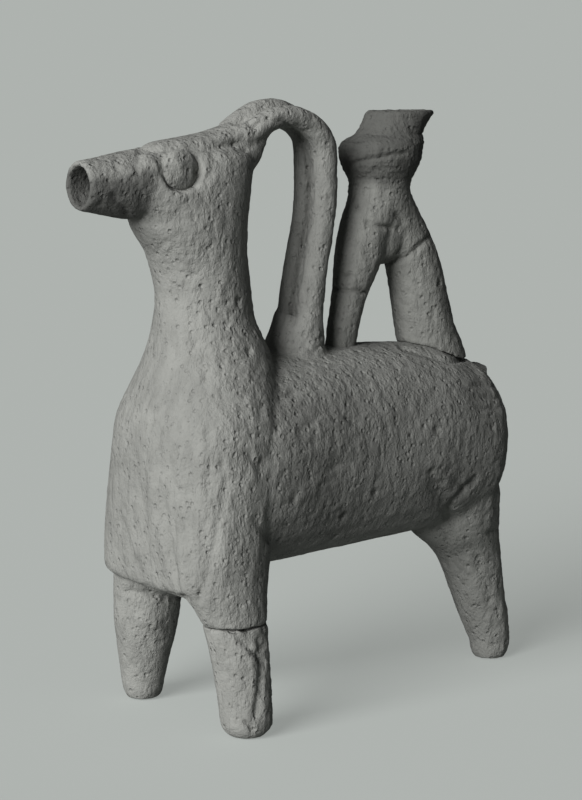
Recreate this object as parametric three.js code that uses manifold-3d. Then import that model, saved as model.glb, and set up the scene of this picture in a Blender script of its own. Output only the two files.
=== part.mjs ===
// Animal-shaped pouring vessel of fired clay, about 22 cm high, on three legs.
// A cup over the back leads through two hollow tubes into the hollow body. From there the neck
// and head carry the liquid to the open muzzle. Two clay rolls make the handle.
// Millimetres, +Z up. The animal faces -X, and its left side is -Y.
import * as THREE from "three";
import { mergeVertices } from "three/addons/utils/BufferGeometryUtils.js";
import Module from "manifold-3d";

// Driving dimensions of the clay work
const SEAT_GAP = 0.3; // room between two pieces that were luted together
const WALL = 7.5; // wall of the hollow barrel
const RING_SIDES = 26; // points round the barrel, chest, neck and head
const LIMB_SIDES = 16; // points round legs, tubes and passages

// Barrel: the horizontal body behind the chest
const BARREL_FRONT = -50;
const RUMP_START = 70; // where the rump begins to close
const RUMP_DEPTH = 20;
const BACK_HEIGHT = 130.8;
const BELLY_HEIGHT = 54;
const BELLY_RISE = 5.4; // the belly climbs towards the hind leg
const BACK_FALL = 7; // the back drops towards the rump
const BARREL_HALF_WIDTH = 33;

// Chest: the broad flat shield in front, which narrows into the neck
const CHEST_FRONT = -70;
const CHEST_HALF_WIDTH = 36.6;
const HEM_HEIGHT = 49.4; // lower edge of the chest, above the front legs
const HEM_ROUNDING = 3.4;

// Neck and head
const NECK_JOINT_HEIGHT = 133;
const NECK_X = -42.5;
const NECK_RADIUS = 17.4; // at the narrowest place
const NECK_WAIST_HEIGHT = 155;
const HEAD_HALF_WIDTH = 17;
const HEAD_TOP = 206.5;
const HEAD_CENTRE_HEIGHT = 191.5;

// Muzzle spout
const MUZZLE_ROOT_X = -71;
const MUZZLE_LENGTH = 23;
const MUZZLE_HEIGHT = 192.6;
const MUZZLE_ROOT_RADIUS = 12.3;
const MUZZLE_TIP_RADIUS = 8.9;
const MUZZLE_BORE_RADIUS = 6.9;
const NECK_BORE_RADIUS = 10.5;

// Eye pellets
const EYE_X = -60.5;
const EYE_HEIGHT = 197.8;
const EYE_RADIUS = 7.4;
const EYE_SEAT = 12.4; // the flat seat's distance from the middle of the head
const EYE_CROWN = 4.2;

// Strip of clay over the forehead
const STRIP_HALF_WIDTH = 8.6;
const STRIP_THICKNESS = 3.2;
const STRIP_FRONT_X = -68;
const STRIP_BACK_X = -31;

// Handle of two rolls
const ROLL_RADIUS = 5.1;
const ROLL_SPACING = 10.5;
const ARCH_TOP = 221.8; // highest point of the vessel
const ARCH_X = -9;
const ARCH_STEP = 2.3; // the top of the left roll lies this much lower on the arch
const ARCH_THINNING = 0.9; // the left roll is pressed thinner there
const HANDLE_BACK_X = 7.8; // rearmost place of the rolls' middle line
const HANDLE_FOOT_X = -0.8;
const WAD_HEIGHT = 13; // clay packed round the rolls' lower ends
const WAD_FLARE = 4;

// Filler: two tubes, yoke and cup
const FRONT_TUBE_X = 18;
const FRONT_TUBE_RADIUS = 6.9; // at its crack
const FRONT_TUBE_FOOT = 5.6; // where it meets the back
const FRONT_BORE_RADIUS = 3.2;
const REAR_TUBE_X = 61;
const REAR_TUBE_RADIUS = 10.4;
const REAR_BORE_RADIUS = 5.6;
const REAR_SKIRT = 2.4; // how far the rear tube's foot spreads
const CROTCH_HEIGHT = 160; // where the two tubes part
const CROTCH_X = 38.5;
const SEAM_RISE = 0.52; // slope, in radians, of the seam between yoke and rear tube
const FRONT_CRACK_HEIGHT = 150.3;
const YOKE_X = 37;
const WAIST_HEIGHT = 188.6;
const WAIST_RADIUS = 11.4;
const CUP_HEIGHT = 28.5;
const CUP_BULGE_RADIUS = 15.7;
const CUP_COLLAR_RADIUS = 12.2;
const CUP_LIP_RADIUS = 13;
const CUP_WALL = 3.2;
const CUP_LEAN = 0.68; // sideways drift of the collar and lip for each mm of height
const THROAT_RADIUS = 5.4;

// Legs: middle and radius of the sole, and the height of the joint to the body
const FRONT_LEG_X = -47;
const RIGHT_LEG_LEAD = 1.9; // the right front leg stands this much further forward
const FRONT_LEG_SPREAD = 32; // from the middle plane to the sole's middle
const HIND_LEG_X = 95.2;
const SOLE_RADIUS = 6.2;
const LEFT_JOINT_HEIGHT = 39.6;
const HIND_JOINT_HEIGHT = 48;

// Tail
const TAIL_X = 84.5;
const TAIL_RADIUS = 4.4;
const SCAR_DEPTH = 1.4;

const wasm = await Module();
wasm.setup();

// Corner points of an oval or rounded box round a centre, spanned by two half axes
function ring(centre, u, v, power, sides) {
  const points = [];
  for (let i = 0; i < sides; i++) {
    const angle = (2 * Math.PI * (i + 0.5)) / sides;
    const c = Math.cos(angle);
    const s = Math.sin(angle);
    const cu = Math.sign(c) * Math.abs(c) ** (2 / power);
    const sv = Math.sign(s) * Math.abs(s) ** (2 / power);
    points.push(centre.clone().addScaledVector(u, cu).addScaledVector(v, sv));
  }
  return points;
}

function middleOf(points) {
  const sum = new THREE.Vector3();
  for (const p of points) sum.add(p);
  return sum.divideScalar(points.length);
}

// Rings that close an end like a dome. A flat share above 0 leaves a flat face of that size.
function dome(points, towards, steps, flat = 0) {
  const centre = middleOf(points);
  const last = Math.acos(flat);
  const rings = [];
  for (let k = 1; k <= steps; k++) {
    const angle = (last * k) / steps;
    const shrink = Math.max(Math.cos(angle), 0.04);
    rings.push(
      points.map((p) =>
        p
          .clone()
          .sub(centre)
          .multiplyScalar(shrink)
          .add(centre)
          .addScaledVector(towards, Math.sin(angle) / Math.sin(last)),
      ),
    );
  }
  return rings;
}

// A closed skin over rings with the same number of points, as a solid
function loft(rings) {
  const sides = rings[0].length;
  const all = rings.flat();
  const faces = [];
  for (let k = 0; k + 1 < rings.length; k++)
    for (let i = 0; i < sides; i++) {
      const a = k * sides + i;
      const b = k * sides + ((i + 1) % sides);
      faces.push(a, b, a + sides, b, b + sides, a + sides);
    }
  const start = all.push(middleOf(rings[0])) - 1;
  const end = all.push(middleOf(rings.at(-1))) - 1;
  const lastRing = (rings.length - 1) * sides;
  for (let i = 0; i < sides; i++) {
    const j = (i + 1) % sides;
    faces.push(start, j, i, end, lastRing + i, lastRing + j);
  }
  const geometry = new THREE.BufferGeometry().setFromPoints(all).setIndex(faces);
  return solid(geometry);
}

// A closed three.js geometry as a solid, turned outwards where its rings ran the other way
function solid(geometry) {
  const bare = geometry.clone();
  bare.deleteAttribute("normal");
  bare.deleteAttribute("uv");
  const merged = mergeVertices(bare, 1e-4);
  const triVerts = Uint32Array.from(merged.index.array);
  const build = () =>
    new wasm.Manifold(
      new wasm.Mesh({ numProp: 3, vertProperties: merged.attributes.position.array, triVerts }),
    );
  const first = build();
  if (first.volume() > 0) return first;
  for (let i = 0; i < triVerts.length; i += 3)
    [triVerts[i + 1], triVerts[i + 2]] = [triVerts[i + 2], triVerts[i + 1]];
  return build();
}

// Smooth values between hand-set stations, each a record of numbers, over the number called key
function between(stations, key, steps) {
  const at = stations.map((s) => s[key]);
  const last = stations.length - 1;
  const slope = (name, i) => {
    const a = Math.max(i - 1, 0);
    const b = Math.min(i + 1, last);
    return (stations[b][name] - stations[a][name]) / (at[b] - at[a]);
  };
  const result = [];
  for (let i = 0; i < last; i++) {
    const span = at[i + 1] - at[i];
    for (let k = 0; k < steps; k++) {
      const t = k / steps;
      const made = {};
      for (const name of Object.keys(stations[i]))
        made[name] =
          (2 * t ** 3 - 3 * t ** 2 + 1) * stations[i][name] +
          (t ** 3 - 2 * t ** 2 + t) * span * slope(name, i) +
          (3 * t ** 2 - 2 * t ** 3) * stations[i + 1][name] +
          (t ** 3 - t ** 2) * span * slope(name, i + 1);
      result.push(made);
    }
  }
  result.push(stations[last]);
  return result;
}

// Horizontal ring of a station with z, x, y, a half length along X and a half width along Y
function layer(s, grow, sides) {
  return ring(
    new THREE.Vector3(s.x, s.y ?? 0, s.z),
    new THREE.Vector3(s.length + grow, 0, 0),
    new THREE.Vector3(0, s.width + grow, 0),
    s.power ?? 2,
    sides,
  );
}

// Upright ring across the body, from a station with x, top, bottom and width
function slice(s, grow, sides) {
  return ring(
    new THREE.Vector3(s.x, 0, (s.top + s.bottom) / 2),
    new THREE.Vector3(0, s.width + grow, 0),
    new THREE.Vector3(0, 0, (s.top - s.bottom) / 2 + grow),
    s.power ?? 2,
    sides,
  );
}

// Rings square to a bent middle line in the plane y = side, for tubes and passages
function bend(stations, grow, sides, steps, side = 0) {
  const dense = between(lengthsAlong(stations), "along", steps);
  return dense.map((s, i) => {
    const before = dense[Math.max(i - 1, 0)];
    const after = dense[Math.min(i + 1, dense.length - 1)];
    const tangent = new THREE.Vector3(after.x - before.x, 0, after.z - before.z).normalize();
    const across = new THREE.Vector3(-tangent.z, 0, tangent.x);
    return ring(
      new THREE.Vector3(s.x, side, s.z),
      across.multiplyScalar((s.thick ?? s.radius) + grow),
      new THREE.Vector3(0, s.radius + grow, 0),
      2,
      sides,
    );
  });
}

// The same stations, each with its distance along the middle line
function lengthsAlong(stations) {
  let along = 0;
  return stations.map((s, i) => {
    if (i > 0) along += Math.hypot(s.x - stations[i - 1].x, s.z - stations[i - 1].z);
    return { ...s, along };
  });
}

// A block between two corners, for cutting at joints
function block(low, high) {
  const size = new THREE.Vector3().subVectors(high, low);
  const geometry = new THREE.BoxGeometry(size.x, size.y, size.z);
  geometry.translate((low.x + high.x) / 2, (low.y + high.y) / 2, (low.z + high.z) / 2);
  return solid(geometry);
}

const REACH = 400; // far beyond the vessel on every side
const above = (z) =>
  block(new THREE.Vector3(-REACH, -REACH, z), new THREE.Vector3(REACH, REACH, REACH));
const below = (z) =>
  block(new THREE.Vector3(-REACH, -REACH, -REACH), new THREE.Vector3(REACH, REACH, z));

// Barrel with the rump closed like a dome. A negative grow gives the hollow inside it.
function barrel(grow) {
  const top = BACK_HEIGHT;
  const bottom = BELLY_HEIGHT;
  const width = BARREL_HALF_WIDTH;
  const chest = CHEST_HALF_WIDTH;
  const stations = [
    { x: BARREL_FRONT - grow, top: top - 13, bottom: bottom + 1, width: chest - 2, power: 2.3 },
    { x: -35, top: top - 5, bottom: bottom + 0.5, width: chest - 0.6, power: 2.4 },
    { x: -18, top: top - 0.8, bottom, width: (chest + width) / 2, power: 2.4 },
    { x: 5, top, bottom: bottom + 0.2 * BELLY_RISE, width, power: 2.35 },
    { x: 38, top: top - 0.4, bottom: bottom + 0.5 * BELLY_RISE, width: width - 0.7, power: 2.3 },
    { x: 57, top: top - 0.35 * BACK_FALL, bottom: bottom + 0.75 * BELLY_RISE, width: width - 1.6, power: 2.3 },
    { x: RUMP_START, top: top - BACK_FALL, bottom: bottom + BELLY_RISE, width: width - 3, power: 2.2 },
  ];
  const rings = between(stations, "x", 2).map((s) => slice(s, grow, RING_SIDES));
  const towards = new THREE.Vector3(RUMP_DEPTH + grow, 0, 0);
  return loft([...rings, ...dome(rings.at(-1), towards, 6)]);
}

// Chest, neck and head as one upright column of horizontal layers
function column(grow) {
  const chest = CHEST_HALF_WIDTH;
  const front = CHEST_FRONT;
  const neck = NECK_RADIUS;
  const poll = 200;
  const layers = [
    [HEM_HEIGHT + HEM_ROUNDING, front + 0.6, -38, chest + 0.4, 3.2],
    [64, front - 0.4, -34, chest + 0.8, 3],
    [82, front - 0.3, -28, chest + 0.3, 2.8],
    [97, front, -24, chest - 0.5, 2.6],
    [110, front + 1.2, -22, chest - 2.4, 2.5],
    [122, front + 4.8, -20, chest - 7.6, 2.3],
    [NECK_JOINT_HEIGHT, NECK_X - 19.6, NECK_X + 22.4, neck + 6, 2.1],
    [144, NECK_X - 18.2, NECK_X + 18.5, neck + 1.2, 2],
    [NECK_WAIST_HEIGHT, NECK_X - neck - 0.2, NECK_X + neck - 0.2, neck, 2],
    [169, NECK_X - 21.6, NECK_X + 15.2, HEAD_HALF_WIDTH + 1, 2.1],
    [178, NECK_X - 27.6, NECK_X + 15.4, HEAD_HALF_WIDTH + 1.4, 2.2],
    [HEAD_CENTRE_HEIGHT, NECK_X - 24, NECK_X + 16.6, HEAD_HALF_WIDTH + 1, 2.3],
    [poll, NECK_X - 20, NECK_X + 18.4, HEAD_HALF_WIDTH - 0.5, 2.3],
  ];
  const stations = layers.map(([z, foremost, rearmost, width, power]) => ({
    z,
    x: (foremost + rearmost) / 2,
    y: 0,
    length: (rearmost - foremost) / 2,
    width,
    power,
  }));
  const rings = between(stations, "z", 2).map((s) => layer(s, grow, RING_SIDES));
  const hem = dome(rings[0], new THREE.Vector3(0, 0, -HEM_ROUNDING - grow), 3, 0.8).reverse();
  const crown = dome(rings.at(-1), new THREE.Vector3(0, 0, HEAD_TOP - poll + grow), 4);
  return loft([...hem, ...rings, ...crown]);
}

// Front of the head, which swells from the muzzle's root to the cheeks
function face(grow) {
  const root = MUZZLE_ROOT_RADIUS;
  const height = MUZZLE_HEIGHT;
  const width = HEAD_HALF_WIDTH;
  const stations = [
    { x: MUZZLE_ROOT_X, top: height + root, bottom: height - root, width: root, power: 2 },
    { x: -66, top: 204.7, bottom: 175.6, width: width - 2.2, power: 2.3 },
    { x: -58, top: 205.8, bottom: 174.6, width: width - 0.3, power: 2.7 },
    { x: -46, top: HEAD_TOP, bottom: 173, width, power: 2.7 },
  ];
  return loft(between(stations, "x", 3).map((s) => slice(s, grow, RING_SIDES)));
}

// Web of clay behind the poll, which fills the corner under the handle's rolls
function nape(grow) {
  const stations = [
    { x: -44, top: HEAD_TOP, bottom: 190, width: 12 },
    { x: -33, top: HEAD_TOP + 1, bottom: 191, width: 11.5 },
    { x: -25, top: HEAD_TOP + 3, bottom: 195, width: 9.5 },
    { x: -20.5, top: HEAD_TOP + 5, bottom: 201.5, width: 8 },
    { x: -18, top: HEAD_TOP + 6, bottom: 208, width: 7 },
  ];
  return loft(between(stations, "x", 2).map((s) => slice({ ...s, power: 2.4 }, grow, 20)));
}

// One leg as horizontal layers from its sole up into the body
function leg(stations, grow) {
  const rings = between(stations, "z", 2).map((s) => layer(s, grow, LIMB_SIDES));
  const foot = rings[0];
  const flat = SOLE_RADIUS / stations[0].length;
  const sole = dome(foot, new THREE.Vector3(0, 0, -stations[0].z), 3, flat).reverse();
  return loft([...sole, ...rings]);
}

function leftLeg(grow) {
  const x = FRONT_LEG_X;
  const y = -FRONT_LEG_SPREAD;
  return leg(
    [
      { z: 5, x, y, length: 9.4, width: 9.4 },
      { z: 22, x: x - 0.5, y: y + 1.8, length: 10.2, width: 10.2 },
      { z: LEFT_JOINT_HEIGHT, x: x - 2.2, y: y + 4, length: 11.8, width: 11.2 },
      { z: 49, x: x - 4.2, y: y + 5.6, length: 15, width: 12.4 },
      { z: 57, x: x - 4.6, y: y + 8, length: 18, width: 13.6 },
      { z: 68, x: x - 3, y: y + 11, length: 19.8, width: 16 },
    ],
    grow,
  );
}

function rightLeg(grow) {
  const x = FRONT_LEG_X - RIGHT_LEG_LEAD;
  const y = FRONT_LEG_SPREAD;
  return leg(
    [
      { z: 6, x, y, length: 8, width: 8 },
      { z: 16, x: x - 0.2, y: y - 1.2, length: 9.8, width: 9.8 },
      { z: 30, x: x - 0.4, y: y - 3, length: 12.2, width: 12 },
      { z: HEM_HEIGHT + 3, x, y: y - 5.5, length: 13.8, width: 13.2 },
    ],
    grow,
  );
}

function hindLeg(grow) {
  const x = HIND_LEG_X;
  return leg(
    [
      { z: 6.5, x: x - 0.4, y: 0, length: 8, width: 8 },
      { z: 17.5, x: x - 3.8, y: 0, length: 9.9, width: 9.9 },
      { z: 28, x: x - 7.1, y: 0, length: 10.8, width: 11 },
      { z: 41.8, x: x - 11.7, y: 0, length: 12.5, width: 12.8 },
      { z: HIND_JOINT_HEIGHT, x: x - 15, y: 0, length: 14.6, width: 14.6 },
      { z: 53, x: x - 18.8, y: 0, length: 17.4, width: 17.4 },
      { z: 60, x: x - 21.6, y: 0, length: 19, width: 20.5 },
      { z: 72, x: x - 25, y: 0, length: 20, width: 24 },
      { z: 90, x: x - 30, y: 0, length: 20, width: 26 },
    ],
    grow,
  );
}

// Way of the liquid from the chest up through neck and head to the muzzle's mouth
function neckPassage() {
  const wide = NECK_BORE_RADIUS;
  const narrow = MUZZLE_BORE_RADIUS;
  const stations = [
    { x: -32, z: 88, radius: wide + 5 },
    { x: -38.5, z: 114, radius: wide + 3.5 },
    { x: NECK_X, z: 142, radius: wide + 0.5 },
    { x: NECK_X - 0.5, z: 160, radius: wide },
    { x: NECK_X - 3, z: 175, radius: wide + 0.5 },
    { x: NECK_X - 9, z: 186, radius: wide },
    { x: MUZZLE_ROOT_X + 9, z: MUZZLE_HEIGHT - 1, radius: narrow + 1.6 },
    { x: MUZZLE_ROOT_X, z: MUZZLE_HEIGHT, radius: narrow + 0.6 },
    { x: MUZZLE_ROOT_X - MUZZLE_LENGTH - 4, z: MUZZLE_HEIGHT, radius: narrow },
  ];
  return loft(bend(stations, 0, LIMB_SIDES, 2));
}

// Middle line and outer radius of each filler tube, from inside the cup's foot into the back
const waistTop = { x: YOKE_X, z: WAIST_HEIGHT + 6, radius: WAIST_RADIUS };
const frontTubeLine = [
  waistTop,
  { x: YOKE_X - 1.2, z: 183, radius: 11 },
  { x: 31.2, z: 175, radius: 10 },
  { x: 28.6, z: 168, radius: 9.4 },
  { x: 26.2, z: CROTCH_HEIGHT, radius: 8.6 },
  { x: 23.4, z: FRONT_CRACK_HEIGHT, radius: FRONT_TUBE_RADIUS },
  { x: 21, z: 141, radius: (FRONT_TUBE_RADIUS + FRONT_TUBE_FOOT) / 2 },
  { x: FRONT_TUBE_X, z: BACK_HEIGHT - 2, radius: FRONT_TUBE_FOOT },
  { x: FRONT_TUBE_X - 1.4, z: BACK_HEIGHT - 10, radius: FRONT_TUBE_FOOT },
];
const rearTubeLine = [
  waistTop,
  { x: YOKE_X + 2.4, z: 183, radius: 11 },
  { x: 45.6, z: 175, radius: REAR_TUBE_RADIUS - 0.5 },
  { x: 49.8, z: 168, radius: REAR_TUBE_RADIUS - 0.4 },
  { x: 53.6, z: CROTCH_HEIGHT - 1, radius: REAR_TUBE_RADIUS },
  { x: 57.8, z: 143, radius: REAR_TUBE_RADIUS + 0.3 * REAR_SKIRT },
  { x: REAR_TUBE_X, z: 131, radius: REAR_TUBE_RADIUS + 0.6 * REAR_SKIRT },
  { x: REAR_TUBE_X + 3, z: BACK_HEIGHT - 8, radius: REAR_TUBE_RADIUS + REAR_SKIRT },
  { x: REAR_TUBE_X + 5.5, z: BACK_HEIGHT - 16, radius: REAR_TUBE_RADIUS + REAR_SKIRT },
];

// The passage down a tube keeps its middle line. It runs on into the hollow of the barrel.
function bore(line, radius, sides) {
  const last = line.at(-1);
  const deep = BACK_HEIGHT - 2 * WALL - 8;
  const stations = line.map((s) => ({ ...s, radius: s === waistTop ? THROAT_RADIUS : radius }));
  stations.push({ x: last.x + (last.x - line.at(-2).x) / 2, z: deep, radius });
  return loft(bend(stations, 0, sides, 2));
}

// What lies behind the crotch and below the seam between yoke and rear tube
function rearTubeRegion(gap) {
  const geometry = new THREE.BoxGeometry(2 * REACH, 2 * REACH, REACH);
  geometry.translate(0, 0, -REACH / 2 - gap);
  geometry.rotateY(-SEAM_RISE);
  geometry.translate(CROTCH_X, 0, CROTCH_HEIGHT);
  const behind = new THREE.Vector3(CROTCH_X + gap, -REACH, -REACH);
  return solid(geometry).intersect(block(behind, new THREE.Vector3(REACH, REACH, REACH)));
}

// Web of clay that closes the corner between the two tubes down to the crotch
function crotchWeb() {
  const stations = [
    { z: CROTCH_HEIGHT, x: CROTCH_X, length: 4.5, width: 4 },
    { z: CROTCH_HEIGHT + 2.5, x: CROTCH_X + 0.2, length: 7, width: 6.4 },
    { z: CROTCH_HEIGHT + 8, x: CROTCH_X + 0.4, length: 10, width: 8.4 },
    { z: CROTCH_HEIGHT + 18, x: CROTCH_X, length: 10, width: 10 },
  ];
  return loft(between(stations, "z", 2).map((s) => layer(s, 0, LIMB_SIDES)));
}

// Cup thrown on a wheel: belly, shoulder, collar, rim band and flared lip, with its hollow
function cup() {
  const bulge = CUP_BULGE_RADIUS;
  const collar = CUP_COLLAR_RADIUS;
  const lip = CUP_LIP_RADIUS;
  const profile = [
    [THROAT_RADIUS, 0],
    [WAIST_RADIUS, 0],
    [WAIST_RADIUS + 0.6, 3.2],
    [bulge - 1.6, 7.2],
    [bulge - 0.3, 10.6],
    [bulge, 14],
    [bulge - 0.3, 16.6],
    [bulge - 1.3, 18],
    [collar + 0.4, 19.2],
    [collar, 21],
    [collar + 0.1, 23.4],
    [lip - 0.6, 24.4],
    [lip - 0.5, 26],
    [lip, 27.4],
    [lip - 0.7, CUP_HEIGHT],
    [lip - CUP_WALL + 0.6, CUP_HEIGHT],
    [collar - CUP_WALL, 24],
    [collar - CUP_WALL + 0.4, 20.6],
    [bulge - CUP_WALL - 0.3, 16.6],
    [bulge - CUP_WALL, 12],
    [bulge - CUP_WALL - 1.6, 8.6],
    [THROAT_RADIUS + 2, 4.6],
    [THROAT_RADIUS, 2.4],
    [THROAT_RADIUS, 0],
  ];
  const geometry = new THREE.LatheGeometry(
    profile.map(([r, z]) => new THREE.Vector2(r, z)),
    28,
  );
  geometry.rotateX(Math.PI / 2);
  geometry.translate(YOKE_X + 0.6, 0, WAIST_HEIGHT);
  leanFrom(geometry, WAIST_HEIGHT + 14, CUP_LEAN);
  return solid(geometry);
}

// Drifts everything above a height towards +X, as the soft clay of the collar did
function leanFrom(geometry, height, share) {
  const position = geometry.attributes.position;
  for (let i = 0; i < position.count; i++) {
    const over = Math.max(position.getZ(i) - height, 0);
    position.setX(i, position.getX(i) + share * over * Math.min(over / 5, 1));
  }
}

// Muzzle spout, turned round its own axis: a blunt cone with a rounded mouth
function muzzle() {
  const root = MUZZLE_ROOT_RADIUS;
  const tip = MUZZLE_TIP_RADIUS;
  const profile = [
    [0, 0],
    [root, 0],
    [root - 0.6, 5],
    [tip + 0.9, MUZZLE_LENGTH - 8],
    [tip, MUZZLE_LENGTH - 3],
    [tip, MUZZLE_LENGTH - 1.5],
    [tip - 0.6, MUZZLE_LENGTH - 0.4],
    [tip - 1.5, MUZZLE_LENGTH],
    [0, MUZZLE_LENGTH],
  ];
  const geometry = new THREE.LatheGeometry(
    profile.map(([r, z]) => new THREE.Vector2(r, z)),
    28,
  );
  geometry.rotateZ(Math.PI / 2);
  geometry.translate(MUZZLE_ROOT_X - SEAT_GAP, 0, MUZZLE_HEIGHT);
  return solid(geometry);
}

// Round eye pellet on its flat seat. The side is -1 for the animal's left and 1 for its right.
function eye(side) {
  const steps = 6;
  const profile = [new THREE.Vector2(0, 0)];
  for (let k = 0; k < steps; k++) {
    const angle = ((Math.PI / 2) * k) / steps;
    profile.push(new THREE.Vector2(EYE_RADIUS * Math.cos(angle), EYE_CROWN * Math.sin(angle)));
  }
  profile.push(new THREE.Vector2(0, EYE_CROWN));
  const geometry = new THREE.LatheGeometry(profile, 24);
  if (side < 0) geometry.rotateX(Math.PI);
  geometry.translate(EYE_X, side * EYE_SEAT, EYE_HEIGHT);
  return solid(geometry);
}

// Pocket with the pellet's flat seat, cut into the side of the head
function eyePocket(side) {
  const depth = 12;
  const radius = EYE_RADIUS + SEAT_GAP;
  const geometry = new THREE.CylinderGeometry(radius, radius, depth, 24);
  geometry.translate(EYE_X, side * (EYE_SEAT + depth / 2), EYE_HEIGHT);
  return solid(geometry);
}

// Strip of clay over the forehead, lens-shaped in section
function strip(grow) {
  const half = STRIP_HALF_WIDTH;
  const thick = STRIP_THICKNESS;
  const stations = [
    { x: STRIP_FRONT_X - grow, top: 204.2, bottom: 205 - thick, width: 4, power: 2 },
    { x: -64, top: 207, bottom: 206 - 2 * thick, width: half - 1.6, power: 2 },
    { x: -55, top: 208.2, bottom: 208 - 2 * thick, width: half, power: 2.2 },
    { x: -42, top: 210.3, bottom: 208.8 - 2 * thick, width: half + 0.6, power: 2.2 },
    { x: STRIP_BACK_X + grow, top: 213.4, bottom: 209.6 - 2 * thick, width: half, power: 2.2 },
  ];
  return loft(between(stations, "x", 2).map((s) => slice(s, grow, 20)));
}

// One roll of the handle, from the head over the arch down to the back
function handleRoll(side, grow) {
  const wide = ROLL_RADIUS;
  const thin = side < 0 ? wide - ARCH_THINNING : wide;
  const step = side < 0 ? ARCH_STEP : 0;
  const top = ARCH_TOP - step - thin;
  const stations = [
    { x: STRIP_BACK_X + SEAT_GAP, z: top - 8.3 + step / 2, radius: wide - 0.5, thick: wide - 0.6 },
    { x: -23, z: top - 4.2, radius: wide, thick: thin },
    { x: -16.5, z: top - 1, radius: wide, thick: thin },
    { x: ARCH_X, z: top, radius: wide, thick: thin },
    { x: -2.6, z: top - 1.4, radius: wide, thick: thin },
    { x: 3, z: top - 4.8, radius: wide, thick: wide - 0.3 },
    { x: HANDLE_BACK_X - 1, z: top - 10, radius: wide, thick: wide },
    { x: HANDLE_BACK_X - 0.2, z: 197, radius: wide, thick: wide - 0.1 },
    { x: HANDLE_BACK_X - 1.2, z: 180, radius: wide, thick: wide - 0.2 },
    { x: 3.6, z: 164, radius: wide, thick: wide - 0.1 },
    { x: 0.8, z: 148, radius: wide + 0.2, thick: wide + 0.2 },
    { x: HANDLE_FOOT_X - 0.4, z: BACK_HEIGHT - 8, radius: wide + 0.3, thick: wide + 0.5 },
  ];
  return loft(bend(stations, grow, 12, 2, (side * ROLL_SPACING) / 2));
}

// Wad of clay packed round the rolls' lower ends
function wad() {
  const x = HANDLE_FOOT_X;
  const length = ROLL_RADIUS + 1.6;
  const width = ROLL_RADIUS + ROLL_SPACING / 2 + 1.4;
  const stations = [
    { z: BACK_HEIGHT - 8, x: x - 2, length: length + WAD_FLARE, width: width + 3 },
    { z: BACK_HEIGHT + 1, x: x - 1.4, length: length + 0.7 * WAD_FLARE, width: width + 1.6 },
    { z: BACK_HEIGHT + 6, x: x - 0.4, length: length + 1.6, width: width + 0.3 },
    { z: BACK_HEIGHT + WAD_HEIGHT, x: x + 0.4, length: length - 0.2, width: width - 0.6 },
  ];
  return loft(between(stations, "z", 2).map((s) => layer({ ...s, power: 2.3 }, 0, 24)));
}

function tail() {
  const stations = [
    { x: TAIL_X - 8, z: 112.5, radius: TAIL_RADIUS + 1.4 },
    { x: TAIL_X - 1, z: 114.6, radius: TAIL_RADIUS + 0.4 },
    { x: TAIL_X + 4.4, z: 113.6, radius: TAIL_RADIUS - 0.4 },
  ];
  return loft(bend(stations, 0, 14, 3));
}

// Shallow scar where the rest of the tail was luted down the rump
function tailScar() {
  const end = RUMP_START + RUMP_DEPTH - SCAR_DEPTH;
  const stations = [
    { x: end + 1, z: 112, radius: 4.6 },
    { x: end + 4.8, z: 104, radius: 5.4 },
    { x: end + 5.4, z: 95, radius: 5 },
  ];
  return loft(bend(stations, 0, 14, 3));
}

// Solids that several pieces share
const flesh = barrel(0)
  .add(column(0))
  .add(leftLeg(0).intersect(above(LEFT_JOINT_HEIGHT)))
  .add(hindLeg(0).intersect(above(HIND_JOINT_HEIGHT)))
  .subtract(above(NECK_JOINT_HEIGHT));
const fleshSeat = barrel(SEAT_GAP)
  .add(column(SEAT_GAP).subtract(above(NECK_JOINT_HEIGHT + SEAT_GAP)))
  .add(column(SEAT_GAP).intersect(above(NECK_JOINT_HEIGHT)));
const frontTube = loft(bend(frontTubeLine, 0, LIMB_SIDES, 2));
const rearTube = loft(bend(rearTubeLine, 0, LIMB_SIDES + 4, 2));
const passages = bore(frontTubeLine, FRONT_BORE_RADIUS, 12).add(
  bore(rearTubeLine, REAR_BORE_RADIUS, LIMB_SIDES),
);
const throatPassage = neckPassage();
const rollSeats = handleRoll(-1, SEAT_GAP).add(handleRoll(1, SEAT_GAP));
const behindStrip = block(
  new THREE.Vector3(STRIP_BACK_X + SEAT_GAP, -REACH, -REACH),
  new THREE.Vector3(REACH, REACH, REACH),
);
const headBlock = column(0).intersect(above(NECK_JOINT_HEIGHT)).add(face(0)).add(nape(0));

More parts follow.
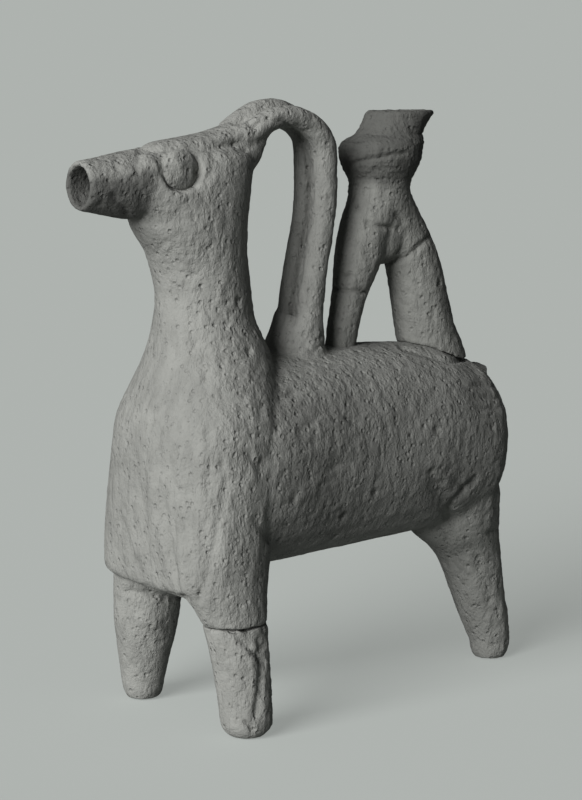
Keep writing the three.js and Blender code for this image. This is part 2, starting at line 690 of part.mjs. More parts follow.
const pieces = {
  body: flesh.subtract(barrel(-WALL)).subtract(passages).subtract(throatPassage).subtract(tailScar()),
  neck_head: headBlock
    .subtract(throatPassage)
    .subtract(eyePocket(-1))
    .subtract(eyePocket(1))
    .subtract(strip(SEAT_GAP))
    .subtract(rollSeats),
  muzzle_spout: muzzle().subtract(throatPassage),
  eye_left: eye(-1),
  eye_right: eye(1),
  forehead_strip: strip(0),
  handle_roll_left: handleRoll(-1, 0).intersect(behindStrip).subtract(fleshSeat),
  handle_roll_right: handleRoll(1, 0).intersect(behindStrip).subtract(fleshSeat),
  handle_foot: wad().subtract(rollSeats).subtract(fleshSeat),
  filler_tube_front_lower: frontTube
    .intersect(below(FRONT_CRACK_HEIGHT - SEAT_GAP))
    .subtract(passages)
    .subtract(fleshSeat),
  filler_yoke: frontTube
    .add(rearTube)
    .add(crotchWeb())
    .intersect(above(FRONT_CRACK_HEIGHT))
    .intersect(below(WAIST_HEIGHT))
    .subtract(rearTubeRegion(0))
    .subtract(passages),
  filler_tube_rear: rearTube.intersect(rearTubeRegion(SEAT_GAP)).subtract(passages).subtract(fleshSeat),
  filler_cup: cup(),
  front_leg_left: leftLeg(0).intersect(below(LEFT_JOINT_HEIGHT - SEAT_GAP)),
  front_leg_right: rightLeg(0).intersect(below(HEM_HEIGHT - SEAT_GAP)),
  hind_leg: hindLeg(0).intersect(below(HIND_JOINT_HEIGHT - SEAT_GAP)),
  tail_stub: tail().subtract(fleshSeat),
};

// Fired clay, a warm grey in the photograph, a little darker on the filler
const CLAY = { color: 0xb4b2aa, roughness: 0.93, metalness: 0 };
const WHEEL_CLAY = { color: 0xa19f98, roughness: 0.9, metalness: 0 };

const vessel = new THREE.Group();
for (const [name, made] of Object.entries(pieces)) {
  const mesh = made.getMesh();
  const geometry = new THREE.BufferGeometry()
    .setAttribute("position", new THREE.BufferAttribute(mesh.vertProperties, 3))
    .setIndex(new THREE.BufferAttribute(mesh.triVerts, 1));
  geometry.computeVertexNormals();
  const finish = name.startsWith("filler") ? WHEEL_CLAY : CLAY;
  const part = new THREE.Mesh(geometry, new THREE.MeshStandardMaterial(finish));
  part.name = name;
  vessel.add(part);
}

// The origin is on the ground, under the middle of the whole vessel
const bounds = new THREE.Box3().setFromObject(vessel);
vessel.position.set(-(bounds.min.x + bounds.max.x) / 2, -(bounds.min.y + bounds.max.y) / 2, -bounds.min.z);

export default vessel;
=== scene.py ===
# Animal-shaped pouring vessel of fired clay, as photographed: three legs, tubular muzzle, handle of
# two rolls and a wheel-made filler cup on forked tubes. Each piece grows from its plain solid: it is
# remeshed, smoothed like hand-pressed clay, then weathered with lumps, pits, cracks and wheel lines.
# Sizes are in metres. Widths and places of marks are in pixels of the picture, their depths in mm.
import bpy
import bmesh
import math
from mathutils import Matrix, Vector, noise


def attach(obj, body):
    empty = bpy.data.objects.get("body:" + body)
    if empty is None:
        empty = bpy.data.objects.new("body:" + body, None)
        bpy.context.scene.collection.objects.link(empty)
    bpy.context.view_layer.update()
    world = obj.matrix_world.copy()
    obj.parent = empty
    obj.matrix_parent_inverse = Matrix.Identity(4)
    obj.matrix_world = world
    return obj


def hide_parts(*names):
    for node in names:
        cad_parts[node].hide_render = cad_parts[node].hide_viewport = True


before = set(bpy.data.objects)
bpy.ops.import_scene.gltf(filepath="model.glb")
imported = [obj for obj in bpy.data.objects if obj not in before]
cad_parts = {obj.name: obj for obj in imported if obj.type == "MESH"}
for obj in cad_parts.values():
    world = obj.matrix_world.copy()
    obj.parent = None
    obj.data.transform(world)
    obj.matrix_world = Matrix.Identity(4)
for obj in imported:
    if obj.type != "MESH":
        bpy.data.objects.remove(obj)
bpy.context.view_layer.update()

# Camera of the photograph: a long lens, a little above the vessel, looking down on it
PICTURE_WIDTH = 582
PICTURE_HEIGHT = 800
LENS_MM = 102.62
SENSOR_MM = 36
TILT_DOWN = 8.11  # degrees
LENS_PX = LENS_MM / SENSOR_MM * PICTURE_HEIGHT
camera_data = bpy.data.cameras.new("photo_camera")
camera_data.sensor_width = SENSOR_MM
camera_data.lens = LENS_MM
camera_data.clip_end = 20
camera = bpy.data.objects.new("photo_camera", camera_data)
camera.location = (-0.50212, -0.66767, 0.2300)
camera.rotation_euler = (math.radians(90 - TILT_DOWN), 0, math.atan2(-0.5948, 0.8039))
bpy.context.collection.objects.link(camera)
bpy.context.scene.camera = camera
bpy.context.scene.view_settings.view_transform = "Standard"

# The pot's clay: coarse hand-built ware, fired grey. It is mottled, pitted where grains fell out,
# faintly streaked where it was wiped, and painted darker where it lies in shade.


# Shader maths as Python expressions
class Value:
    def __init__(self, shader, socket):
        self.shader = shader
        self.socket = socket

    def maths(self, operation, a, b):
        return self.shader.node("ShaderNodeMath", {0: a, 1: b}, operation=operation)

    def __add__(self, other):
        return self.maths("ADD", self, other)

    def __radd__(self, other):
        return self.maths("ADD", other, self)

    def __sub__(self, other):
        return self.maths("SUBTRACT", self, other)

    def __rsub__(self, other):
        return self.maths("SUBTRACT", other, self)

    def __mul__(self, other):
        return self.maths("MULTIPLY", self, other)

    def __rmul__(self, other):
        return self.maths("MULTIPLY", other, self)


class Shader:
    def __init__(self, name):
        self.material = bpy.data.materials.new(name)
        self.material.use_nodes = True
        self.tree = self.material.node_tree
        self.tree.nodes.clear()

    # Any node: its kind, values or links of its sockets, the output wanted, and its settings
    def node(self, kind, inputs=None, out=0, **settings):
        made = self.tree.nodes.new(kind)
        for key, value in settings.items():
            setattr(made, key, value)
        for key, value in (inputs or {}).items():
            if isinstance(value, Value):
                self.tree.links.new(value.socket, made.inputs[key])
            else:
                made.inputs[key].default_value = value
        return Value(self, made.outputs[out]) if made.outputs else None

    def ramp(self, value, low, high):
        return self.node(
            "ShaderNodeMapRange",
            {"Value": value, "From Min": low, "From Max": high},
            interpolation_type="SMOOTHSTEP",
        )

    def noise(self, place, scale, detail, rough=0.55):
        return self.node(
            "ShaderNodeTexNoise",
            {"Vector": place, "Scale": scale, "Detail": detail, "Roughness": rough},
        )

    def blend(self, factor, a, b):
        made = self.tree.nodes.new("ShaderNodeMix")
        made.data_type = "RGBA"
        self.tree.links.new(factor.socket, made.inputs[0])
        for index, colour in ((6, a), (7, b)):
            if isinstance(colour, Value):
                self.tree.links.new(colour.socket, made.inputs[index])
            else:
                made.inputs[index].default_value = (*colour, 1)
        return Value(self, made.outputs[2])


def shade_of(tone, share):
    return [c * share for c in tone]


# Fired clay: mottled tone, dark specks in the pits, a fine grain and faint diagonal streaks.
# Grain is the strength of the fine relief, and the last argument gives the share of painted shade at a
# place.
def clay(name, tone, dark, grain, streak, painted_shading):
    s = Shader(name)
    place = s.node("ShaderNodeTexCoord", out="Object")
    x, y, z = (s.node("ShaderNodeSeparateXYZ", {0: place}, out=axis) for axis in "XYZ")
    clouded = s.noise(place, 60, 3) * 0.02 - 0.01
    clouds = s.ramp(s.noise(place, 34, 6, 0.6), 0.34, 0.68)
    patches = s.ramp(s.noise(place, 95, 5, 0.65), 0.36, 0.66)
    specks = s.ramp(s.noise(place, 620, 3, 0.6), 0.62, 0.74)
    stretched = s.node(
        "ShaderNodeMapping", {"Vector": place, "Rotation": (0, 0.75, 0), "Scale": (1, 1, 0.4)}
    )
    streaks = s.ramp(s.noise(stretched, 260, 4, 0.6), 0.42, 0.66)
    colour = s.blend(clouds, shade_of(tone, 0.84), tone)
    colour = s.blend(patches * 0.5, colour, shade_of(tone, 1.12))
    colour = s.blend(streaks * streak, colour, dark)
    colour = s.blend(specks * 0.55, colour, dark)
    # Painted shade: this mask darkens the pot's near flank, muzzle side and back, and the filler's cup
    painted_darkening = painted_shading(s, x + clouded, y + clouded, z + clouded)
    colour = s.blend(painted_darkening, colour, shade_of(tone, 0.3))
    pores = s.node(
        "ShaderNodeTexVoronoi", {"Vector": place, "Scale": 310.0, "Randomness": 1.0}, out="Distance"
    )
    holes = 1 - s.ramp(pores, 0.08, 0.3)
    height = s.noise(place, 900, 5, 0.7) * 0.5 + s.noise(place, 260, 4, 0.6) - holes * 0.55
    bump = s.node(
        "ShaderNodeBump", {"Height": height + streaks * 0.4, "Strength": grain, "Distance": 0.0009}
    )
    rough = 0.84 + patches * 0.1
    bsdf = s.node(
        "ShaderNodeBsdfPrincipled",
        {"Base Color": colour, "Roughness": rough, "Normal": bump, "Specular IOR Level": 0.25},
    )
    s.node("ShaderNodeOutputMaterial", {"Surface": bsdf})
    return s.material


# Painted shade where the low light from the left only grazes: the near flank, the side of the muzzle,
# and the back
def pot_painted_shade(s, x, y, z):
    flank = s.ramp(0 - y, 0.014, 0.03) * s.ramp(x, -0.055, -0.03) * s.ramp(z, 0.05, 0.07)
    muzzle = s.ramp(0 - x, 0.07, 0.08) * s.ramp(0.2 - z, 0, 0.006) * s.ramp(z, 0.172, 0.176)
    back = s.ramp(z, 0.118, 0.128) * s.ramp(x, 0.0, 0.03)
    return flank * 0.42 + muzzle * 0.85 + back * 0.2


POT_TONE = (0.285, 0.288, 0.27)
POT_PITS = (0.085, 0.086, 0.08)
pot_clay = clay("fired_clay", POT_TONE, POT_PITS, grain=1.0, streak=0.14, painted_shading=pot_painted_shade)

# The pot: hollow barrel and chest, neck and head, muzzle spout, forehead lap, handle of two rolls in
# its wad, hind leg and far front leg. They are separate pieces of clay whose joints were smeared
# over, so they are sculpted as one skin, which is then cut into its pieces.


# A mesh with an even skin of small quads, from copies of plain solids that are joined and smoothed
def grown(name, nodes, voxel, smoothings):
    mesh = bpy.data.meshes.new(name)
    joined = bmesh.new()
    for node in nodes:
        joined.from_mesh(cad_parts[node].data)
    bmesh.ops.remove_doubles(joined, verts=joined.verts, dist=2e-6)
    joined.to_mesh(mesh)
    joined.free()
    made = bpy.data.objects.new(name, mesh)
    bpy.context.collection.objects.link(made)
    bpy.ops.object.select_all(action="DESELECT")
    made.select_set(True)
    bpy.context.view_layer.objects.active = made
    even = made.modifiers.new("even skin", "REMESH")
    even.mode = "VOXEL"
    even.voxel_size = voxel
    bpy.ops.object.modifier_apply(modifier=even.name)
    soft = made.modifiers.new("pressed clay", "SMOOTH")
    soft.factor = 0.5
    soft.iterations = smoothings
    bpy.ops.object.modifier_apply(modifier=soft.name)
    return made


# Where a point of the vessel lies in the picture, to place marks seen there
to_camera_axes = camera.rotation_euler.to_matrix().transposed()


def seen(point):
    v = to_camera_axes @ (point - camera.location)
    return PICTURE_WIDTH / 2 - LENS_PX * v.x / v.z, PICTURE_HEIGHT / 2 + LENS_PX * v.y / v.z


# Distance in picture pixels from a place to a line of points
def off_line(x, y, line):
    best = 1e9
    for (ax, ay), (bx, by) in zip(line, line[1:]):
        dx, dy = bx - ax, by - ay
        t = max(0.0, min(1.0, ((x - ax) * dx + (y - ay) * dy) / (dx * dx + dy * dy)))
        best = min(best, math.hypot(x - ax - t * dx, y - ay - t * dy))
    return best


# Worn relief of the clay: how often it repeats per metre, and its height in mm
LUMPS, LUMP_HEIGHT = 55, 0.5
DIMPLES, DIMPLE_HEIGHT = 150, 0.16
CRUST, CRUST_HEIGHT = 420, 0.5
WIPING, WIPING_HEIGHT = 300, 0.24
PITS, PIT_DEPTH = 240, 4.2
PIT_START = 0.52  # the noise above this is a pit
WOBBLE, WOBBLE_PX = 420, 1.6  # marks waver by this many pixels
MM = 0.001


# Weathers a mesh along its normals. Marks are named lines in the picture, with a width and a depth;
# a negative depth is a ridge or lump. Rough says how deep the worn grain is at a place.
def weather(made, marks, rough):
    mesh = made.data
    moved = []
    boxes = []
    for line, width, depth in marks.values():
        xs = [p[0] for p in line]
        ys = [p[1] for p in line]
        reach = 2.2 * width + 2
        boxes.append((min(xs) - reach, max(xs) + reach, min(ys) - reach, max(ys) + reach))
    for vertex in mesh.vertices:
        p = vertex.co
        n = vertex.normal
        grain = rough(p, n)
        lift = LUMP_HEIGHT * noise.noise(p * LUMPS)
        lift += DIMPLE_HEIGHT * noise.noise(p * DIMPLES + Vector((7, 1, 3)))
        lift *= 0.45 + grain
        lift += grain * CRUST_HEIGHT * noise.fractal(p * CRUST, 0.7, 2.2, 3)
        slant = Vector((p.x + 0.55 * p.z, p.y, 0.3 * (p.z - 0.4 * p.x)))
        lift += grain * WIPING_HEIGHT * noise.noise(slant * WIPING + Vector((2, 8, 5)))
        hole = noise.noise(p * PITS + Vector((31, 4, 9)))
        if hole > PIT_START:
            lift -= (hole - PIT_START) * PIT_DEPTH * (0.35 + grain)
        to_camera = (camera.location - p).normalized()
        if n.dot(to_camera) > 0.02 and marks:
            x, y = seen(p)
            x += WOBBLE_PX * noise.noise(p * WOBBLE)
            y += WOBBLE_PX * noise.noise(p * WOBBLE + Vector((5, 5, 5)))
            for (line, width, depth), (x0, x1, y0, y1) in zip(marks.values(), boxes):
                if x0 < x < x1 and y0 < y < y1:
                    lift -= depth * math.exp(-((off_line(x, y, line) / width) ** 2))
        moved.append(p + n * lift * MM)
    for vertex, place in zip(mesh.vertices, moved):
        vertex.co = place
    for polygon in mesh.polygons:
        polygon.use_smooth = True
    mesh.update()


def on_plane(point, place, normal):
    return abs((point - Vector(place)).dot(Vector(normal))) < 2e-6


# Cuts a fused skin along planes. Each cut is a test of where it applies, a place and a normal.
def score(fused, planes):
    cuts = bmesh.new()
    cuts.from_mesh(fused.data)
    for test, place, normal in planes:
        near = [f for f in cuts.faces if test(f.calc_center_median())]
        edges = {e for f in near for e in f.edges}
        verts = {v for f in near for v in f.verts}
        bmesh.ops.bisect_plane(
            cuts, geom=[*near, *edges, *verts], plane_co=place, plane_no=normal, dist=1e-7
        )
    cuts.to_mesh(fused.data)
    cuts.free()


# Keeps the faces of a scored skin whose centres pass a test, and closes the cuts plane by plane.
# What is left open where two cuts meet is closed loop by loop.
def cut_out(fused, name, belongs, planes):
    part = bmesh.new()
    part.from_mesh(fused.data)
    outside = [f for f in part.faces if not belongs(f.calc_center_median())]
    bmesh.ops.delete(part, geom=outside, context="FACES")
    rims = [e for e in part.edges if e.is_boundary]
    for face in part.faces:
        face.smooth = True
    for rim in rims:
        rim.smooth = False
    for _, place, normal in planes:
        flat = [e for e in rims if e.is_boundary and all(on_plane(v.co, place, normal) for v in e.verts)]
        if flat:
            bmesh.ops.triangle_fill(part, edges=flat, use_beauty=True, use_dissolve=False)
    rest = [e for e in part.edges if e.is_boundary]
    if rest:
        bmesh.ops.holes_fill(part, edges=rest, sides=0)
    bmesh.ops.recalc_face_normals(part, faces=part.faces)
    mesh = bpy.data.meshes.new(name)
    part.to_mesh(mesh)
    part.free()
    made = bpy.data.objects.new(name, mesh)
    bpy.context.collection.objects.link(made)
    return made


# Says what a finished piece rides on and replaces, and paints it
def settle(made, node, material):
    made.data.materials.clear()
    made.data.materials.append(material)
    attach(made, "root")
    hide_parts(node)


skin = grown(
    "skin",
    [
        "body",
        "neck_head",
        "muzzle_spout",
        "hind_leg",
        "front_leg_right",
        "forehead_strip",
        "handle_roll_left",
        "handle_roll_right",
        "handle_foot",
    ],
    voxel=0.00105,
    smoothings=5,
)
pot_marks = {
    # folds that run down the chest to the crotch
    "outer fold": ([(150, 470), (156, 520), (170, 570), (184, 596)], 5, -0.9),
    "middle fold": ([(176, 440), (180, 520), (184, 590)], 4, -0.7),
    "crease between folds": ([(163, 500), (172, 560), (184, 598)], 3, 0.7),
    "inner fold": ([(204, 430), (200, 500), (192, 590)], 5, -0.6),
    "crease to the near leg": ([(228, 480), (215, 540), (200, 600)], 4, 0.6),
    "crease to the far leg": ([(122, 520), (134, 560), (150, 590)], 4, 0.5),
    # ledge over the far front leg, and its lump
    "ledge": ([(128, 592), (150, 595), (186, 598)], 3.2, 1.6),
    "lump under the ledge": ([(140, 618), (158, 624)], 7, -1.0),
    # muzzle: gouge, seam and pits
    "muzzle gouge": ([(113, 196), (127, 213)], 3.5, 1.1),
    "throat seam": ([(116, 219), (136, 223), (146, 214)], 2.4, 0.9),
    "upper muzzle pit": ([(117, 167), (118, 168)], 2.2, 1.0),
    "lower muzzle pit": ([(116, 176), (117, 177)], 2.0, 1.0),
    "rear muzzle pit": ([(130, 177), (131, 178)], 2.2, 1.0),
    "muzzle seam": ([(139, 150), (137, 175), (141, 200)], 2.2, 0.6),
    "lump before the eye": ([(148, 160), (152, 166)], 7, -1.1),
    # grooves round the near eye
    "front eye groove": ([(161, 163), (164, 175), (173, 187)], 3, 0.7),
    "rear eye groove": ([(213, 154), (214, 168), (206, 182)], 3.2, 0.7),
    "edge of the forehead lap": ([(140, 152), (172, 149), (212, 149), (236, 143)], 2.2, 0.9),
    # handle: the pit where its groove starts, the groove, the wad's luting line and a print
    "handle pit": ([(249, 123), (254, 126)], 2.6, 1.4),
    "groove over the arch": (
        [(254, 125), (268, 117), (284, 121), (300, 140), (309, 165), (310, 190)], 2.6, 1.4
    ),
    "groove between the rolls": (
        [(310, 190), (308, 215), (302, 245), (297, 280), (293, 310), (292, 322)], 2.8, 2.0
    ),
    "luting line of the wad": ([(270, 357), (284, 351), (297, 350)], 2.2, 0.8),
    "print on the wad": ([(304, 345), (314, 353), (323, 345)], 2.2, 0.8),
    # pits of the neck
    "large neck pit": ([(192, 275), (194, 277)], 2.6, 1.3),
    "small neck pit": ([(180, 262), (181, 263)], 1.8, 0.9),
    # pits and gashes of the flank
    "shoulder pit": ([(221, 463), (224, 466)], 3, 1.2),
    "shoulder gash": ([(248, 455), (262, 470)], 3, 0.8),
    "gash under the back": ([(282, 398), (296, 392)], 2.6, 0.8),
    "belly gash": ([(255, 520), (270, 540)], 3.5, 0.8),
    "lower flank scratch": ([(330, 470), (345, 462)], 3, 0.6),
    "upper flank scratch": ([(300, 430), (318, 420)], 3, 0.6),
    # hind leg: the striated recess, its crack and the smooth swelling below
    "haunch recess": ([(436, 486), (444, 500), (450, 515)], 8, 1.3),
    "haunch crack": ([(446, 520), (456, 500), (476, 478)], 2.6, 1.8),
    "lower haunch gash": ([(440, 530), (448, 545)], 3, 1.2),
    "upper haunch gash": ([(458, 482), (466, 490)], 3, 0.9),
    "hind leg swelling": ([(470, 560), (474, 600)], 9, -0.8),
    "hind leg nick": ([(497, 530), (490, 534)], 3, 1.2),
    # crack at the rear tube's base, and the tail's scar with its bands
    "rear tube crack": (
        [(401, 347), (413, 351), (434, 357), (453, 362), (467, 357)], 2.4, 1.1
    ),
    "upper tail band": ([(474, 384), (495, 386)], 2, 0.7),
    "middle tail band": ([(476, 396), (498, 398)], 2, 0.7),
    "lower tail band": ([(478, 408), (499, 410)], 2, 0.7),
}


# Roughest on the flanks, smooth on the chest's front and on top of the handle
def pot_grain(p, n):
    worn = 0.5 + 0.5 * noise.noise(p * 30 + Vector((3, 3, 3)))
    flank = max(0.0, -n.y) ** 0.5 if n.y < 0 else max(0.0, n.y) ** 0.5 * 0.8
    front = max(0.0, -n.x - 0.3)
    high = 0.35 if p.z > 0.2 and n.z > 0.5 else 1.0
    return (0.12 + 0.75 * flank * worn) * (1 - 0.7 * front) * high


weather(skin, pot_marks, pot_grain)

# Joints of the pot's pieces
NECK_JOINT = 0.133  # height
MUZZLE_JOINT = -0.0755  # x
CHIN = 0.17  # the muzzle lies above this height
HIND_LEG_JOINT = 0.0478  # height
FAR_LEG_JOINT = 0.0492  # height
CROTCH = 0.006  # y past which the far front leg lies
ROLLS_START = -0.0235  # x
BETWEEN_ROLLS = 0.0002  # y
ROLLS_FOOT = 0.1436  # height
WAD_FOOT = 0.1322  # height
LAP = (-0.0722, 0, 0.2022)
LAP_NORMAL = Vector((-0.134, 0, 0.991))
ALONG_X = (1, 0, 0)
ALONG_Y = (0, 1, 0)
ALONG_Z = (0, 0, 1)


def over_lap(c):
    return (c - Vector(LAP)).dot(LAP_NORMAL)


pot_planes = (
    (lambda c: abs(c.z - NECK_JOINT) < 0.006 and c.x < -0.018, (0, 0, NECK_JOINT), ALONG_Z),
    (lambda c: abs(c.x - MUZZLE_JOINT) < 0.006 and c.z > CHIN, (MUZZLE_JOINT, 0, 0), ALONG_X),
    (lambda c: abs(c.z - HIND_LEG_JOINT) < 0.006 and c.x > 0.03, (0, 0, HIND_LEG_JOINT), ALONG_Z),
    (
        lambda c: abs(c.z - FAR_LEG_JOINT) < 0.006 and c.x < 0 and c.y > CROTCH,
        (0, 0, FAR_LEG_JOINT),
        ALONG_Z,
    ),
    (lambda c: abs(c.x - ROLLS_START) < 0.005 and c.z > 0.19, (ROLLS_START, 0, 0), ALONG_X),
    (
        lambda c: abs(c.y - BETWEEN_ROLLS) < 0.004 and c.x > ROLLS_START and c.z > 0.14,
        (0, BETWEEN_ROLLS, 0),
        ALONG_Y,
    ),
    (lambda c: abs(over_lap(c)) < 0.004 and MUZZLE_JOINT < c.x < ROLLS_START, LAP, LAP_NORMAL),
    (lambda c: abs(c.z - ROLLS_FOOT) < 0.004 and c.x > -0.018, (0, 0, ROLLS_FOOT), ALONG_Z),
    (lambda c: abs(c.z - WAD_FOOT) < 0.004 and c.x > -0.0205, (0, 0, WAD_FOOT), ALONG_Z),
)
score(skin, pot_planes)


def part_of_pot(c):
    if c.x < MUZZLE_JOINT and c.z > CHIN:
        return "muzzle_spout"
    if c.z > ROLLS_FOOT and c.x > (ROLLS_START if c.z > 0.19 else -0.014):
        return "handle_roll_left" if c.y < BETWEEN_ROLLS else "handle_roll_right"
    if c.z > WAD_FOOT and c.x > -0.0195:
        return "handle_foot"
    if c.z > NECK_JOINT and over_lap(c) > 0:
        return "forehead_strip"
    if c.z > NECK_JOINT:
        return "neck_head"
    if c.z < HIND_LEG_JOINT and c.x > 0.03:
        return "hind_leg"
    if c.z < FAR_LEG_JOINT and c.x < 0 and c.y > CROTCH:
        return "front_leg_right"
    return "body"


for name, node in (
    ("muzzle_spout_skin", "muzzle_spout"),
    ("neck_and_head", "neck_head"),
    ("forehead_lap", "forehead_strip"),
    ("handle_roll_near", "handle_roll_left"),
    ("handle_roll_far", "handle_roll_right"),
    ("handle_foot_wad", "handle_foot"),
    ("hind_leg_skin", "hind_leg"),
    ("front_leg_far", "front_leg_right"),
    ("barrel_and_chest", "body"),
):
    piece = cut_out(skin, name, lambda c: part_of_pot(c) == node, pot_planes)
    settle(piece, node, pot_clay)
bpy.data.objects.remove(skin)

# Near front leg: a solid roll of the same clay, broken off once and glued back below the chest.
# It is spalled on its right side, with long cracks and a gash.
near_leg = grown("front_leg_near", ["front_leg_left"], voxel=0.0008, smoothings=4)
near_leg_marks = {
    "upper crack": ([(232, 632), (246, 645), (262, 660)], 2.6, 1.3),
    "long crack": ([(260, 640), (262, 675), (256, 715)], 3.2, 1.2),
    "gash by the sole": ([(246, 722), (252, 730)], 2.4, 1.4),
    "spall": ([(244, 626), (250, 640)], 5, 0.9),
}
weather(near_leg, near_leg_marks, lambda p, n: 0.12 + 0.8 * max(0.0, n.x))
settle(near_leg, "front_leg_left", pot_clay)

# Eye pellets: two small balls of clay, pressed flat onto the sides of the head by hand
EYE_SEAT = 0.0122  # from the middle plane
EYE_FLATTENING = 0.72
eye_marks = {
    "crown of the pellet": ([(178, 163), (180, 165)], 5, -0.5),
    "pit in the pellet": ([(196, 172), (197, 173)], 2, 0.9),
}
for side, node in (("near", "eye_left"), ("far", "eye_right")):
    pellet = grown("eye_" + side, [node], voxel=0.0006, smoothings=6)
    seat = EYE_SEAT if side == "far" else -EYE_SEAT
    for vertex in pellet.data.vertices:
        vertex.co.y = seat + EYE_FLATTENING * (vertex.co.y - seat)
    weather(pellet, eye_marks, lambda p, n: 0.4)
    settle(pellet, node, pot_clay)

# Tail stub: the root of a tail of rolled clay that was luted to the rump and broke off short
stub = grown("tail_stub_skin", ["tail_stub"], voxel=0.0006, smoothings=3)
weather(stub, {}, lambda p, n: 0.7)
settle(stub, "tail_stub", pot_clay)

# Filler: a thin front tube and a thick rear tube that meet in a hollow yoke under the cup. They are
# of darker and finer clay. The cup was thrown on a wheel and luted on, and painted shade makes it darker
# still.


# Painted shade: darkens the whole cup above its joint, as the low light from the left leaves it dim
def cup_painted_shade(s, x, y, z):
    return s.ramp(z, 0.186, 0.195) * 0.8


FILLER_TONE = (0.23, 0.233, 0.217)
FILLER_PITS = (0.07, 0.071, 0.066)
filler_clay = clay("filler_clay", FILLER_TONE, FILLER_PITS, grain=0.85, streak=0.16, painted_shading=cup_painted_shade)
filler_marks = {
    "crack of the front tube": ([(330, 287), (346, 291), (365, 292)], 2.4, 1.3),
    "gash of the yoke": ([(368, 222), (380, 227), (392, 228)], 2.2, 1.2),
    "nick of the yoke": ([(396, 214), (404, 222)], 2.2, 0.9),
    "luting line of the rear tube": ([(382, 263), (406, 258), (421, 245), (430, 236)], 2.6, 1.1),
    "pit of the yoke": ([(355, 205), (362, 212)], 2, 0.7),
    # cup: the crack over its bulge, the chipped rim band and the shoulder's nick
    "crack of the bulge": ([(350, 165), (366, 160), (385, 157), (405, 152)], 2.2, 1.1),
    "chipped rim band": ([(370, 117), (384, 120), (405, 118)], 5, 0.5),
    "nick of the shoulder": ([(346, 140), (360, 139)], 2.4, 0.8),
}
filler = grown(
    "filler",
    ["filler_tube_front_lower", "filler_yoke", "filler_tube_rear", "filler_cup"],
    voxel=0.0008,
    smoothings=5,
)

# The front tube's foot is pressed a little into the back, and the cup has wheel lines
FOOT_SINKING = 0.0022
for vertex in filler.data.vertices:
    z = vertex.co.z * 1000
    sunk = max(0.0, min(1.0, (138 - z) / 6)) if vertex.co.x < 0.035 else 0.0
    vertex.co.z -= FOOT_SINKING * sunk
    n = vertex.normal
    thrown = max(0.0, min(1.0, (z - 176) / 14)) * (1 - abs(n.z))
    line = 0.15 * math.sin(z * 3.1 + 0.8 * noise.noise(vertex.co * 60)) + 0.1 * math.sin(z * 5.3)
    vertex.co += n * line * thrown * MM
weather(filler, filler_marks, lambda p, n: 0.34)

# Joints of the filler's pieces
CUP_JOINT = 0.1886  # height
FRONT_TUBE_JOINT = 0.1502  # height
FRONT_TUBE_BACK = 0.031  # x behind the front tube
SEAM = (0.0343, 0, 0.160)
SEAM_SLOPE = 0.52  # radians
SEAM_NORMAL = Vector((-math.sin(SEAM_SLOPE), 0, math.cos(SEAM_SLOPE)))


def over_seam(c):
    return (c - Vector(SEAM)).dot(SEAM_NORMAL)


filler_planes = (
    (lambda c: abs(c.z - CUP_JOINT) < 0.004, (0, 0, CUP_JOINT), ALONG_Z),
    (
        lambda c: abs(c.z - FRONT_TUBE_JOINT) < 0.004 and c.x < FRONT_TUBE_BACK,
        (0, 0, FRONT_TUBE_JOINT),
        ALONG_Z,
    ),
    (lambda c: abs(over_seam(c)) < 0.004 and c.x > FRONT_TUBE_BACK, SEAM, SEAM_NORMAL),
)
score(filler, filler_planes)


def part_of_filler(c):
    if c.z > CUP_JOINT:
        return "filler_cup"
    if c.z < FRONT_TUBE_JOINT and c.x < FRONT_TUBE_BACK:
        return "filler_tube_front_lower"
    if over_seam(c) < 0 and c.x > SEAM[0]:
        return "filler_tube_rear"
    return "filler_yoke"


for name, node in (
    ("filler_tube_front", "filler_tube_front_lower"),
    ("filler_yoke_skin", "filler_yoke"),
    ("filler_tube_rear_skin", "filler_tube_rear"),
    ("filler_cup_skin", "filler_cup"),
):
    piece = cut_out(filler, name, lambda c: part_of_filler(c) == node, filler_planes)
    settle(piece, node, filler_clay)
bpy.data.objects.remove(filler)

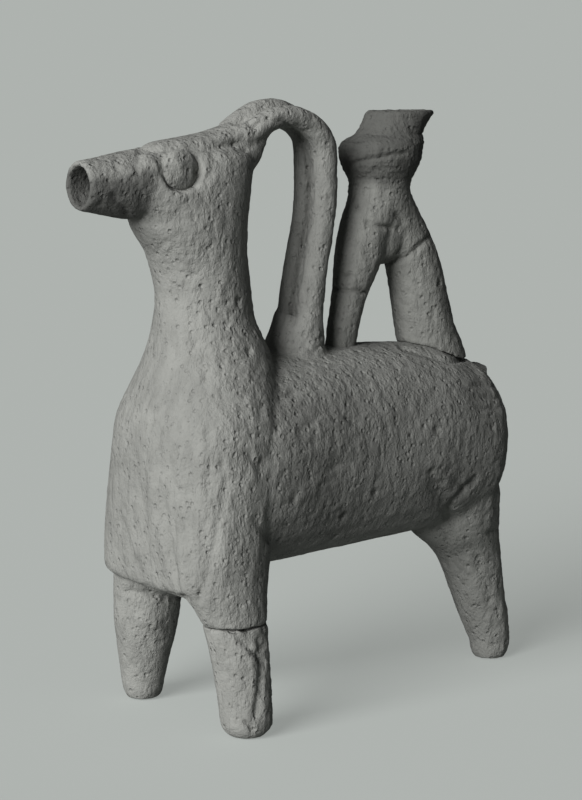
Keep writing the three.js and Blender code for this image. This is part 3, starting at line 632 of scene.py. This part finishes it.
# Floor: a pale sheet that fades into the background
BACKDROP = (0.425, 0.45, 0.43)
PAPER = (0.72, 0.76, 0.73)
FLOOR_SIZE = 12
FLOOR_DROP = 0.0004  # it lies this much under the soles
bpy.ops.mesh.primitive_plane_add(size=FLOOR_SIZE, location=(0, 0, -FLOOR_DROP))
floor = bpy.context.object
floor.name = "floor"
s = Shader("paper")
place = s.node("ShaderNodeTexCoord", out="Object")
reach = s.node("ShaderNodeVectorMath", {0: place}, out="Value", operation="LENGTH")
fade = s.ramp(reach, 0.35, 1.3) * 0.36 + 0.64
paper = s.node("ShaderNodeBsdfDiffuse", {"Color": (*PAPER, 1)})
glow = s.node(
    "ShaderNodeEmission",
    {"Color": (*BACKDROP, 1), "Strength": s.node("ShaderNodeLightPath", out="Is Camera Ray")},
)
mixed = s.node("ShaderNodeMixShader", {0: fade, 1: paper, 2: glow})
s.node("ShaderNodeOutputMaterial", {"Surface": mixed})
floor.data.materials.append(s.material)

# Surroundings: the backdrop's grey for the camera, a weaker even light for everything else
world = bpy.data.worlds.new("studio")
bpy.context.scene.world = world
world.use_nodes = True
tree = world.node_tree
tree.nodes.clear()
path = tree.nodes.new("ShaderNodeLightPath")
shown = tree.nodes.new("ShaderNodeBackground")
shown.inputs["Color"].default_value = (*BACKDROP, 1)
ambient = tree.nodes.new("ShaderNodeBackground")
ambient.inputs["Color"].default_value = (0.95, 1.0, 1.0, 1)
ambient.inputs["Strength"].default_value = 0.05
by_ray = tree.nodes.new("ShaderNodeMixShader")
output = tree.nodes.new("ShaderNodeOutputWorld")
tree.links.new(path.outputs["Is Camera Ray"], by_ray.inputs[0])
tree.links.new(ambient.outputs[0], by_ray.inputs[1])
tree.links.new(shown.outputs[0], by_ray.inputs[2])
tree.links.new(by_ray.outputs[0], output.inputs["Surface"])

# Key light from the left, almost square to the chest, so that the flank lies in half shade
KEY_DIRECTION = Vector((0.88, 0.27, -0.38))
key_data = bpy.data.lights.new("key_light", "SUN")
key_data.energy = 4.5
key_data.angle = math.radians(38)
key = bpy.data.objects.new("key_light", key_data)
key.rotation_euler = KEY_DIRECTION.to_track_quat("-Z", "Y").to_euler()
bpy.context.collection.objects.link(key)
